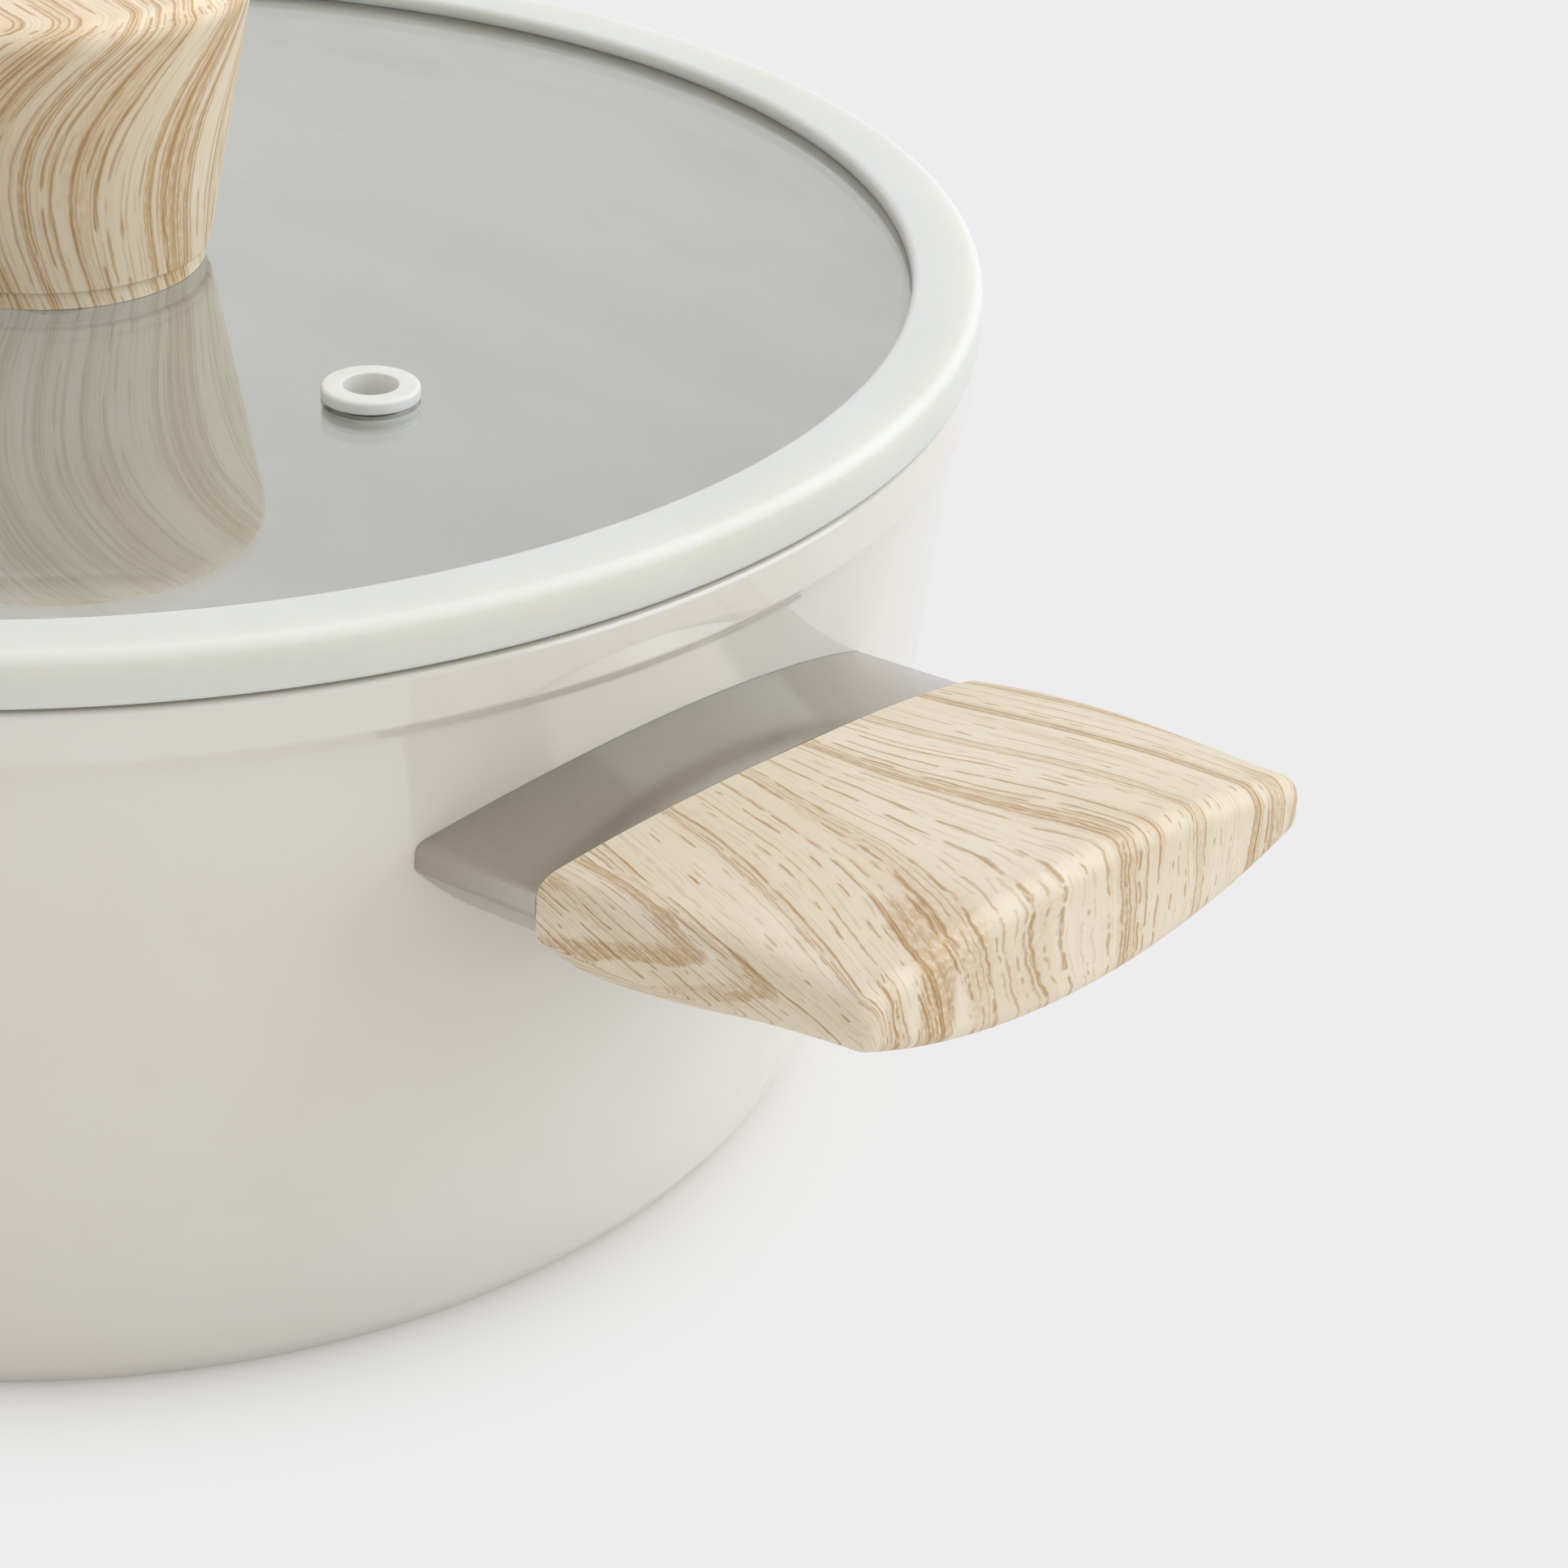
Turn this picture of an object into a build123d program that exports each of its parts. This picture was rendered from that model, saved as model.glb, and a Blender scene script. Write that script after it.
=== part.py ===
"""Two-ear casserole pot with a flat glass lid. Millimetres, +Z up.

The origin is on the pot's axis at the level of the base, and +X points along one ear handle.
"""
import os

from build123d import *

# Pot: outer profile from the rim down to the base. Each radius is stated as its step in from the one above
RIM_R = 117.6
RIM_TOP_Z = 98.9
RIM_BAND_H = 6.0
BAND_STEP_H = 1.8
BAND_PROUD = 1.4
WALL_TAPER = 2.8
WALL_BEND_Z = 63.0
HEEL_IN = 10.2
HEEL_Z = 12.5
FOOT_IN = 3.0
FOOT_CHAMFER = 2.6
FOOT_BAND_H = 3.3
WALL_T = 3.4
BASE_T = 5.5
INNER_CORNER_R = 12.0
INNER_CORNER_SHARE = 1.2
RIM_OUTER_ROUND = 0.8
RIM_INNER_ROUND = 1.4
BAND_ROUND = 0.9
STEP_ROUND = 1.6

# Steel disc let into the underside
DISC_IN = 22.2
DISC_T = 1.2
DISC_CLEAR = 0.15

# Ear handle: height of its thin edge below the rim, slope of its top and width of the steel sleeve at the wall
HANDLE_DROP = 23.4
HANDLE_RISE = 0.115
HANDLE_HALF_W = 35.2
GUARD_W = 18.4
GUARD_T = 1.0
GUARD_NOSE_H = 3.2
GUARD_CROWN = 8.2
GUARD_KEEL = 18.0
GUARD_NOSE_R = 1.4
GUARD_NOSE_DEPTH = 2.5
GUARD_NOSE_DROP = 1.9
SEAT_GAP = 0.1
EDGE_ROUND_SHARE = 0.46

# Cast lug inside each handle
LUG_DROP = 0.5
LUG_H = 9.0
LUG_ROOT_W = 42.0
LUG_TIP_W = 30.0
LUG_REACH = 22.0
LUG_CORNER_R = 7.0
POCKET_CLEAR = 0.3

# Grip sections: distance from the joint, then heights of edge bottom, edge top, keel and crown from the thin edge
GRIP_STATIONS = (
    (-15.0, -3.2, 1.3, -21.0, 8.7),
    (-1.0, -2.1, 5.4, -18.6, 10.2),
    (13.0, -0.5, 8.2, -14.4, 11.6),
    (27.0, 2.0, 9.4, -8.8, 13.0),
    (42.6, 4.5, 10.3, -1.8, 14.4),
)
GRIP_CORNER_R = 3.0
GRIP_END_R = 2.5
END_ROUND_SHARE = 0.43

# Handle screw, driven upwards from the belly of the grip into the lug
SCREW_OUT = 9.0
SCREW_D = 5.0
SCREW_HEAD_D = 9.6
SCREW_HEAD_H = 3.0
SCREW_REACH = 7.5
SCREW_CLEAR = 0.15
SCREW_FLOOR = 4.5
WASHER_D = 11.0
WASHER_T = 1.0
COUNTERBORE_CLEAR = 0.8
DRIVE_W = 1.6
DRIVE_L = 5.6
DRIVE_DEPTH = 1.6

# Lid: glass disc in a silicone rim
LID_OVERHANG = 0.4
LID_LIP_W = 8.9
LID_LIP_H = 2.3
LID_TOP_OUTER_ROUND = 1.4
LID_TOP_INNER_ROUND = 0.9
LID_BOTTOM_ROUND = 0.7
GLASS_IN = 5.0
GLASS_T = 3.0
GLASS_LIFT = 1.8
GLASS_EDGE_R = 0.8
GROOVE_CLEAR = 0.15
RIM_GAP = 0.6
SEAT_IN = 2.4
LID_SEAT_CLEAR = 0.1
SKIRT_CLEAR = 0.8
SKIRT_T = 2.6
SKIRT_H = 4.8
UNDER_LIP_W = 1.6

# Steam vent, in line with the handles
VENT_R = 61.6
VENT_BORE_D = 6.6
VENT_WALL = 1.05
VENT_FLANGE_W = 1.55
VENT_UNDER_FLANGE_W = 1.35
VENT_UNDER_FLANGE_T = 1.4
VENT_TOP = 1.85
VENT_UNDERCUT = 0.5
VENT_ROUND = 0.5

# Knob
KNOB_FOOT_R = 19.3
KNOB_FOOT_H = 2.2
KNOB_STEP = 0.8
KNOB_FLARE = 6.6
KNOB_H = 38.0
KNOB_TOP_ROUND = 3.0
KNOB_STEP_ROUND = 0.5
KNOB_FOOT_GAP = 0.1
GASKET_IN = 4.3
GASKET_T = 1.0
GASKET_CLEAR = 0.2
KNOB_SCREW_D = 6.0
KNOB_SCREW_HEAD_D = 11.0
KNOB_SCREW_HEAD_H = 3.2
KNOB_SCREW_REACH = 12.0
KNOB_HOLE_PLAY = 1.2
INSERT_WALL = 2.0
INSERT_END = 4.0
UNDER_GASKET_W = 1.5
UNDER_GASKET_T = 1.5
KNOB_WASHER_D = 21.0
KNOB_WASHER_T = 1.2

# Pot radii and heights that follow from the sizes above
band_bottom_z = RIM_TOP_Z - RIM_BAND_H
wall_top_z = band_bottom_z - BAND_STEP_H
wall_top_r = RIM_R - BAND_PROUD
rim_in_r = wall_top_r - WALL_T
wall_bend_r = wall_top_r - WALL_TAPER
wall_slope = WALL_TAPER / (wall_top_z - WALL_BEND_Z)
heel_r = wall_bend_r - HEEL_IN
foot_r = heel_r - FOOT_IN
disc_r = foot_r - DISC_IN

# Handle positions
handle_z = RIM_TOP_Z - HANDLE_DROP
handle_wall_r = wall_bend_r + wall_slope * (handle_z - WALL_BEND_Z)
joint_r = handle_wall_r + GUARD_W
lug_bottom_z = handle_z - LUG_DROP - LUG_H / 2
lug_root_r = handle_wall_r - WALL_T / 2
lug_tip_x = joint_r + LUG_REACH
screw_x = joint_r + SCREW_OUT
washer_seat_z = lug_bottom_z - POCKET_CLEAR - SCREW_FLOOR

# Lid positions
lid_r = RIM_R + LID_OVERHANG
lip_r = lid_r - LID_LIP_W
seat_land_r = lid_r - SEAT_IN
seat_land_z = RIM_TOP_Z + LID_SEAT_CLEAR
lid_bottom_z = RIM_TOP_Z + RIM_GAP
glass_r = lid_r - GLASS_IN
glass_bottom_z = RIM_TOP_Z + GLASS_LIFT
glass_top_z = glass_bottom_z + GLASS_T
lid_top_z = glass_top_z + LID_LIP_H
vent_neck_r = VENT_BORE_D / 2 + VENT_WALL
knob_hole_d = KNOB_SCREW_D + 2 * KNOB_HOLE_PLAY
knob_z = glass_top_z + KNOB_FOOT_GAP
insert_r = KNOB_SCREW_D / 2 + INSERT_WALL
insert_z = glass_top_z + GASKET_T
insert_l = KNOB_SCREW_REACH + INSERT_END
gasket_r = KNOB_FOOT_R - GASKET_IN

os.makedirs("parts", exist_ok=True)


def save(builder, name):
    """Label one finished piece and write it."""
    builder.part.label = name
    export_step(builder.part, f"parts/{name}.step")


def near(shapes, point):
    """The one shape nearest to a point."""
    return shapes.sort_by_distance(point)[0]


def lens_section(plane, half_width, middle, edge_bottom, edge_top, keel, crown, corner):
    """Lens-shaped outline with narrow flat edges, its heights counted from the middle of the thin edge."""
    low = middle + edge_bottom
    high = middle + edge_top
    with BuildSketch(plane) as section:
        with BuildLine():
            ThreePointArc((half_width, high), (0, middle + crown), (-half_width, high))
            Line((-half_width, high), (-half_width, low))
            ThreePointArc((-half_width, low), (0, middle + keel), (half_width, low))
            Line((half_width, low), (half_width, high))
        make_face()
        fillet(section.vertices(), min(corner, EDGE_ROUND_SHARE * (high - low)))
    return section.sketch


def lug_outline(plane, grow=0.0):
    """Tapering tongue from inside the wall to its rounded tip, grown by a clearance."""
    with BuildSketch(plane) as outline:
        with BuildLine():
            Polyline(
                (lug_root_r / 2, -LUG_ROOT_W / 2 - grow),
                (joint_r, -LUG_ROOT_W / 2 - grow),
                (lug_tip_x + grow, -LUG_TIP_W / 2 - grow),
                (lug_tip_x + grow, LUG_TIP_W / 2 + grow),
                (joint_r, LUG_ROOT_W / 2 + grow),
                (lug_root_r / 2, LUG_ROOT_W / 2 + grow),
                close=True,
            )
        make_face()
        fillet(outline.vertices().group_by(Axis.X)[-1], LUG_CORNER_R + grow)
        Circle(lug_root_r, mode=Mode.SUBTRACT)
    return outline.sketch


def ring(outer_d, bore_d, z):
    """A flat ring on the lid's axis, at a height."""
    with BuildSketch(Plane.XY.offset(z)) as flat:
        Circle(outer_d / 2)
        Circle(bore_d / 2, mode=Mode.SUBTRACT)
    return flat.sketch


def drive(x, z):
    """The cross recess of a screw head."""
    with BuildSketch(Plane.XY.offset(z)) as cross:
        with Locations((x, 0)):
            Rectangle(DRIVE_L, DRIVE_W)
            Rectangle(DRIVE_W, DRIVE_L)
    return cross.sketch


# Pot body: one revolved casting with a lug on each side
with BuildPart() as pot_body:
    with BuildSketch(Plane.XZ) as pot_section:
        with BuildLine():
            wall_top = (wall_top_r, wall_top_z)
            bend = (wall_bend_r, WALL_BEND_Z)
            heel = (heel_r, HEEL_Z)
            foot = (foot_r, FOOT_BAND_H)
            Polyline((rim_in_r, RIM_TOP_Z), (RIM_R, RIM_TOP_Z), (RIM_R, band_bottom_z), wall_top)
            wall = Line(wall_top, bend)
            side = TangentArc(bend, heel, tangent=wall % 1)
            TangentArc(heel, foot, tangent=side % 1)
            recess_r = disc_r + DISC_CLEAR
            Polyline(foot, (foot_r - FOOT_CHAMFER, 0), (recess_r, 0), (recess_r, DISC_T), (0, DISC_T))
            Line((0, DISC_T), (0, BASE_T))
            inner_bend = (wall_bend_r - WALL_T, WALL_BEND_Z)
            inner_heel = (heel_r - WALL_T, HEEL_Z)
            inner_wall = Line((rim_in_r, wall_top_z), inner_bend)
            inner_side = TangentArc(inner_bend, inner_heel, tangent=inner_wall % 1)
            heel_run = inner_side % 1
            corner_r = inner_heel[0] + heel_run.X / heel_run.Y * (BASE_T - HEEL_Z)
            Line(inner_heel, (corner_r, BASE_T))
            Line((corner_r, BASE_T), (0, BASE_T))
            Line((rim_in_r, RIM_TOP_Z), (rim_in_r, wall_top_z))
        make_face()
        inner_round = min(INNER_CORNER_R, INNER_CORNER_SHARE * (HEEL_Z - BASE_T))
        fillet(near(pot_section.vertices(), (corner_r, BASE_T)), inner_round)
        fillet(near(pot_section.vertices(), (rim_in_r, RIM_TOP_Z)), RIM_INNER_ROUND)
        fillet(near(pot_section.vertices(), (RIM_R, RIM_TOP_Z)), RIM_OUTER_ROUND)
        fillet(near(pot_section.vertices(), (RIM_R, band_bottom_z)), BAND_ROUND)
        fillet(near(pot_section.vertices(), wall_top), STEP_ROUND)
    revolve(axis=Axis.Z)
    with BuildSketch(Plane.XY.offset(lug_bottom_z)):
        add(lug_outline(Plane.XY))
        with Locations((screw_x, 0)):
            Circle(SCREW_D / 2 + SCREW_CLEAR, mode=Mode.SUBTRACT)
        mirror(about=Plane.YZ)
    extrude(amount=LUG_H)
save(pot_body, "pot_body")

# Steel disc, flush with the underside
with BuildPart() as induction_base:
    with BuildSketch():
        Circle(disc_r)
    extrude(amount=DISC_T)
save(induction_base, "induction_base")

# Flame guard: a steel sleeve round the lug, sloping up from the wall to the grip
with BuildPart() as guard:
    guard_start = handle_wall_r - GUARD_W
    guard_z = handle_z - HANDLE_RISE * GUARD_W
    nose = GUARD_NOSE_H / 2
    outer = (HANDLE_HALF_W, guard_z, -nose, nose, -GUARD_KEEL, GUARD_CROWN)
    inner_half_w = HANDLE_HALF_W - GUARD_NOSE_DEPTH
    inner = (inner_half_w, guard_z, -nose - GUARD_NOSE_DROP, nose, GUARD_T - GUARD_KEEL, GUARD_CROWN - GUARD_T)
    with BuildSketch(Plane.YZ.offset(guard_start)) as sleeve:
        add(lens_section(Plane.XY, *outer, GUARD_NOSE_R))
        add(lens_section(Plane.XY, *inner, GUARD_NOSE_R), mode=Mode.SUBTRACT)
    extrude(sleeve.sketch, amount=3 * GUARD_W, dir=(1, 0, HANDLE_RISE))
    Cone(
        wall_bend_r + SEAT_GAP - wall_slope * WALL_BEND_Z,
        wall_top_r + SEAT_GAP,
        wall_top_z,
        align=(Align.CENTER, Align.CENTER, Align.MIN),
        mode=Mode.SUBTRACT,
    )
    Cylinder(joint_r - SEAT_GAP / 2, 2 * RIM_TOP_Z, mode=Mode.INTERSECT)

# Grip: lofted through its stations, hollowed for the lug and bored from below for the screw
with BuildPart() as grip:
    sections = []
    for out, *heights in GRIP_STATIONS:
        station = Plane.YZ.offset(joint_r + out)
        sections.append(lens_section(station, HANDLE_HALF_W, handle_z, *heights, GRIP_CORNER_R))
    loft(sections)
    _, end_low, end_high, *_ = GRIP_STATIONS[-1]
    end_face = grip.faces().sort_by(Axis.X)[-1]
    fillet(end_face.edges(), min(GRIP_END_R, END_ROUND_SHARE * (end_high - end_low)))
    Cylinder(joint_r + SEAT_GAP / 2, 2 * RIM_TOP_Z, mode=Mode.SUBTRACT)
    pocket = lug_outline(Plane.XY.offset(lug_bottom_z - POCKET_CLEAR), POCKET_CLEAR)
    extrude(pocket, amount=LUG_H + 2 * POCKET_CLEAR, mode=Mode.SUBTRACT)
    with BuildSketch(Plane.XY.offset(washer_seat_z)):
        with Locations((screw_x, 0)):
            Circle(SCREW_D / 2 + SCREW_CLEAR)
    extrude(amount=lug_bottom_z - washer_seat_z, mode=Mode.SUBTRACT)
    with BuildSketch(Plane.XY.offset(washer_seat_z)):
        with Locations((screw_x, 0)):
            Circle(WASHER_D / 2 + COUNTERBORE_CLEAR)
    extrude(amount=-washer_seat_z, mode=Mode.SUBTRACT)

# Handle screw with a cross drive, head downwards
head_top_z = washer_seat_z - WASHER_T
head_bottom_z = head_top_z - SCREW_HEAD_H
with BuildPart() as handle_screw:
    with BuildSketch(Plane.XY.offset(head_bottom_z)):
        with Locations((screw_x, 0)):
            Circle(SCREW_HEAD_D / 2)
    extrude(amount=SCREW_HEAD_H)
    fillet(handle_screw.edges().sort_by(Axis.Z)[0], SCREW_HEAD_H / 2)
    with BuildSketch(Plane.XY.offset(head_top_z)):
        with Locations((screw_x, 0)):
            Circle(SCREW_D / 2)
    extrude(amount=lug_bottom_z + SCREW_REACH - head_top_z)
    extrude(drive(screw_x, head_bottom_z), amount=DRIVE_DEPTH, mode=Mode.SUBTRACT)

# Washer under the screw head
with BuildPart() as handle_washer:
    with BuildSketch(Plane.XY.offset(head_top_z)):
        with Locations((screw_x, 0)):
            Circle(WASHER_D / 2)
            Circle(SCREW_D / 2 + SCREW_CLEAR, mode=Mode.SUBTRACT)
    extrude(amount=WASHER_T)

# Both ears are the same pieces, half a turn apart
for piece, name in (
    (guard, "handle_guard"),
    (grip, "handle_grip"),
    (handle_screw, "handle_screw"),
    (handle_washer, "handle_washer"),
):
    for side_name, turn in (("right", 0), ("left", 180)):
        with BuildPart() as ear_piece:
            add(piece.part, rotation=(0, 0, turn))
        save(ear_piece, f"{name}_{side_name}")

# Lid glass: flat disc with pencil edges, a knob hole and a vent hole
with BuildPart() as lid_glass:
    with BuildSketch(Plane.XY.offset(glass_bottom_z)):
        Circle(glass_r)
        Circle(knob_hole_d / 2, mode=Mode.SUBTRACT)
        with Locations((VENT_R, 0)):
            Circle(vent_neck_r + GROOVE_CLEAR, mode=Mode.SUBTRACT)
    extrude(amount=GLASS_T)
    outer_face = lid_glass.faces().filter_by(GeomType.CYLINDER).sort_by(SortBy.AREA)[-1]
    fillet(outer_face.edges().filter_by(GeomType.CIRCLE), GLASS_EDGE_R)
save(lid_glass, "lid_glass")

# Silicone rim: groove for the glass, seat land on the pot, relieved outer edge, centring skirt
with BuildPart() as lid_rim:
    groove_r = glass_r + GROOVE_CLEAR
    groove_top_z = glass_top_z + GROOVE_CLEAR
    groove_bottom_z = glass_bottom_z - GROOVE_CLEAR
    skirt_out_r = rim_in_r - SKIRT_CLEAR
    skirt_in_r = skirt_out_r - SKIRT_T
    skirt_bottom_z = RIM_TOP_Z - SKIRT_H
    with BuildSketch(Plane.XZ) as rim_section:
        with BuildLine():
            Polyline(
                (lip_r, groove_top_z),
                (lip_r, lid_top_z),
                (lid_r, lid_top_z),
                (lid_r, lid_bottom_z),
                (seat_land_r, lid_bottom_z),
                (seat_land_r - RIM_GAP, seat_land_z),
                (skirt_out_r, seat_land_z),
                (skirt_out_r, skirt_bottom_z),
                (skirt_in_r, skirt_bottom_z),
                (skirt_in_r - UNDER_LIP_W, groove_bottom_z),
                (groove_r, groove_bottom_z),
                (groove_r, groove_top_z),
                close=True,
            )
        make_face()
        fillet(near(rim_section.vertices(), (lid_r, lid_top_z)), LID_TOP_OUTER_ROUND)
        fillet(near(rim_section.vertices(), (lip_r, lid_top_z)), LID_TOP_INNER_ROUND)
        fillet(near(rim_section.vertices(), (lid_r, lid_bottom_z)), LID_BOTTOM_ROUND)
        fillet(near(rim_section.vertices(), (skirt_out_r, skirt_bottom_z)), SKIRT_T / 3)
    revolve(axis=Axis.Z)
save(lid_rim, "lid_rim")

# Steam vent: a bored silicone spool snapped into the glass
with BuildPart() as vent_grommet:
    bore_r = VENT_BORE_D / 2
    flange_r = vent_neck_r + VENT_FLANGE_W
    under_r = vent_neck_r + VENT_UNDER_FLANGE_W
    vent_top_z = glass_top_z + VENT_TOP
    flange_z = glass_top_z + VENT_UNDERCUT
    under_z = glass_bottom_z - GROOVE_CLEAR
    vent_plane = Plane(origin=(VENT_R, 0, 0), x_dir=(1, 0, 0), z_dir=(0, -1, 0))
    with BuildSketch(vent_plane) as vent_section:
        with BuildLine():
            Polyline(
                (bore_r, under_z - VENT_UNDER_FLANGE_T),
                (bore_r, vent_top_z),
                (flange_r, vent_top_z),
                (flange_r, flange_z),
                (vent_neck_r, flange_z),
                (vent_neck_r, under_z),
                (under_r, under_z),
                (under_r, under_z - VENT_UNDER_FLANGE_T),
                close=True,
            )
        face = make_face()
        fillet(face.vertices().group_by(Axis.Y)[-1], VENT_ROUND)
    revolve(axis=Axis((VENT_R, 0, 0), (0, 0, 1)))
save(vent_grommet, "vent_grommet")

# Knob: flared body on a stepped foot, rounded top, recess for the gasket and a bore for the insert
with BuildPart() as knob_grip:
    step_z = knob_z + KNOB_FOOT_H
    top_z = knob_z + KNOB_H
    insert_top_z = insert_z + insert_l
    recess_out_r = gasket_r + GASKET_CLEAR
    body_r = KNOB_FOOT_R + KNOB_STEP
    top_r = body_r + KNOB_FLARE
    with BuildSketch(Plane.XZ) as knob_section:
        with BuildLine():
            Polyline(
                (insert_r, insert_z),
                (recess_out_r, insert_z),
                (recess_out_r, knob_z),
                (KNOB_FOOT_R, knob_z),
                (KNOB_FOOT_R, step_z),
                (body_r, step_z),
                (top_r, top_z),
                (0, top_z),
                (0, insert_top_z),
                (insert_r, insert_top_z),
                close=True,
            )
        make_face()
        fillet(near(knob_section.vertices(), (top_r, top_z)), KNOB_TOP_ROUND)
        fillet(near(knob_section.vertices(), (body_r, step_z)), KNOB_STEP_ROUND)
    revolve(axis=Axis.Z)
save(knob_grip, "knob_grip")

# Threaded insert, seated in the knob
with BuildPart() as knob_insert:
    with BuildSketch(Plane.XY.offset(insert_z)):
        Circle(insert_r)
    extrude(amount=insert_l)
    with BuildSketch(Plane.XY.offset(insert_z)):
        Circle(KNOB_SCREW_D / 2 + SCREW_CLEAR)
    extrude(amount=KNOB_SCREW_REACH + SCREW_CLEAR, mode=Mode.SUBTRACT)
save(knob_insert, "knob_insert")

# Soft ring between the knob and the glass
with BuildPart() as knob_gasket:
    extrude(ring(2 * gasket_r, knob_hole_d, glass_top_z), amount=GASKET_T)
save(knob_gasket, "knob_gasket")

# Soft ring, washer and screw under the glass
under_gasket_z = glass_bottom_z - UNDER_GASKET_T
with BuildPart() as knob_under_gasket:
    extrude(ring(KNOB_WASHER_D + 2 * UNDER_GASKET_W, knob_hole_d, under_gasket_z), amount=UNDER_GASKET_T)
save(knob_under_gasket, "knob_under_gasket")

knob_washer_z = under_gasket_z - KNOB_WASHER_T
with BuildPart() as knob_washer:
    extrude(ring(KNOB_WASHER_D, KNOB_SCREW_D + 2 * SCREW_CLEAR, knob_washer_z), amount=KNOB_WASHER_T)
    fillet(knob_washer.edges().group_by(Axis.Z)[0].sort_by(SortBy.LENGTH)[-1], KNOB_WASHER_T / 2)
save(knob_washer, "knob_washer")

knob_head_z = knob_washer_z - KNOB_SCREW_HEAD_H
with BuildPart() as knob_screw:
    with BuildSketch(Plane.XY.offset(knob_head_z)):
        Circle(KNOB_SCREW_HEAD_D / 2)
    extrude(amount=KNOB_SCREW_HEAD_H)
    fillet(knob_screw.edges().sort_by(Axis.Z)[0], KNOB_SCREW_HEAD_H / 2)
    with BuildSketch(Plane.XY.offset(knob_washer_z)):
        Circle(KNOB_SCREW_D / 2)
    extrude(amount=insert_z + KNOB_SCREW_REACH - knob_washer_z)
    extrude(drive(0, knob_head_z), amount=DRIVE_DEPTH, mode=Mode.SUBTRACT)
save(knob_screw, "knob_screw")
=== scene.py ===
import math

import bmesh
import bpy
from mathutils import Matrix, Vector
from mathutils.geometry import tessellate_polygon


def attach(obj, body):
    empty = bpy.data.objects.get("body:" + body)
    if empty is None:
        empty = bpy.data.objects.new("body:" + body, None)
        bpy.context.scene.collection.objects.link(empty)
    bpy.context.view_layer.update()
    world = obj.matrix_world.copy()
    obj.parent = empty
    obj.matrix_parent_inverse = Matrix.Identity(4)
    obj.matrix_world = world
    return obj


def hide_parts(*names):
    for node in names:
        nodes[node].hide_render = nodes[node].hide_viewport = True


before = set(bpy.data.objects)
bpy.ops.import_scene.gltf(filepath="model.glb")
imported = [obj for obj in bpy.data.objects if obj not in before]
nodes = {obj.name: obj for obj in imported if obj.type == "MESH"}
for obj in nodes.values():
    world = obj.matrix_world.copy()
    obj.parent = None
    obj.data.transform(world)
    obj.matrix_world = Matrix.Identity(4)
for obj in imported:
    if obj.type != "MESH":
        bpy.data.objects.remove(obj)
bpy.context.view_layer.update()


def srgb(r, g, b):
    """A colour written in 0-255 display values, as linear values by the sRGB curve."""
    def one(v):
        v = v / 255
        return v / 12.92 if v <= 0.04045 else ((v + 0.055) / 1.055) ** 2.4
    return one(r), one(g), one(b), 1.0


# Lengths are metres, and millimetres where a value is multiplied by MM or says so
MM = 0.001

# Camera, at the photograph's viewing angle
CAM_AT = Vector((0.40376, -0.29267, 0.29624))
CAM_YAW = math.radians(133.0279)
CAM_PITCH = math.radians(-28.4002)
CAM_ROLL = math.radians(2.31)
CAM_LENS = 94.64
CAM_SENSOR = 36.0
CAM_NEAR = 0.01

# Height of the pot's rim, from which the lid, knob and handles are placed
RIM_Z = 0.0989
RIM_MM = RIM_Z / MM

# Light: a pale even room, as it lights and as it is seen, and two wide soft lamps at the right, high and low
ROOM_LEVEL = 0.72
BACK_LEVEL = 0.847
# name, level, azimuth, height, spread, colour
LAMPS = (
    ("top_lamp", 0.95, math.radians(60), math.radians(55), math.radians(55), (1.0, 1.0, 0.99)),
    ("side_lamp", 0.80, math.radians(42), math.radians(14), math.radians(50), (0.72, 0.90, 1.0)),
)

# Floor: paper as it is lit, and as the even background
FLOOR_SIZE = 12.0
FLOOR_MOTTLE = 9
FLOOR_PAPER = (srgb(237.6, 234.6, 229.6), srgb(238.4, 235.4, 230.4))
FLOOR_EVEN = (srgb(236.6, 236.6, 236.6), srgb(237.4, 237.4, 237.4))
FLOOR_ROUGH = 0.9
# How much of the shadow it keeps at the pot's foot, the radius there, and how soon that fades further out
FLOOR_KEEP = 0.86
FLOOR_NEAR = 0.0976
FLOOR_FADE = 0.0086

# The range that most of a noise falls in, and a wider one
MID = (0.3, 0.7)
WIDE = (0.2, 0.8)


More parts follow.
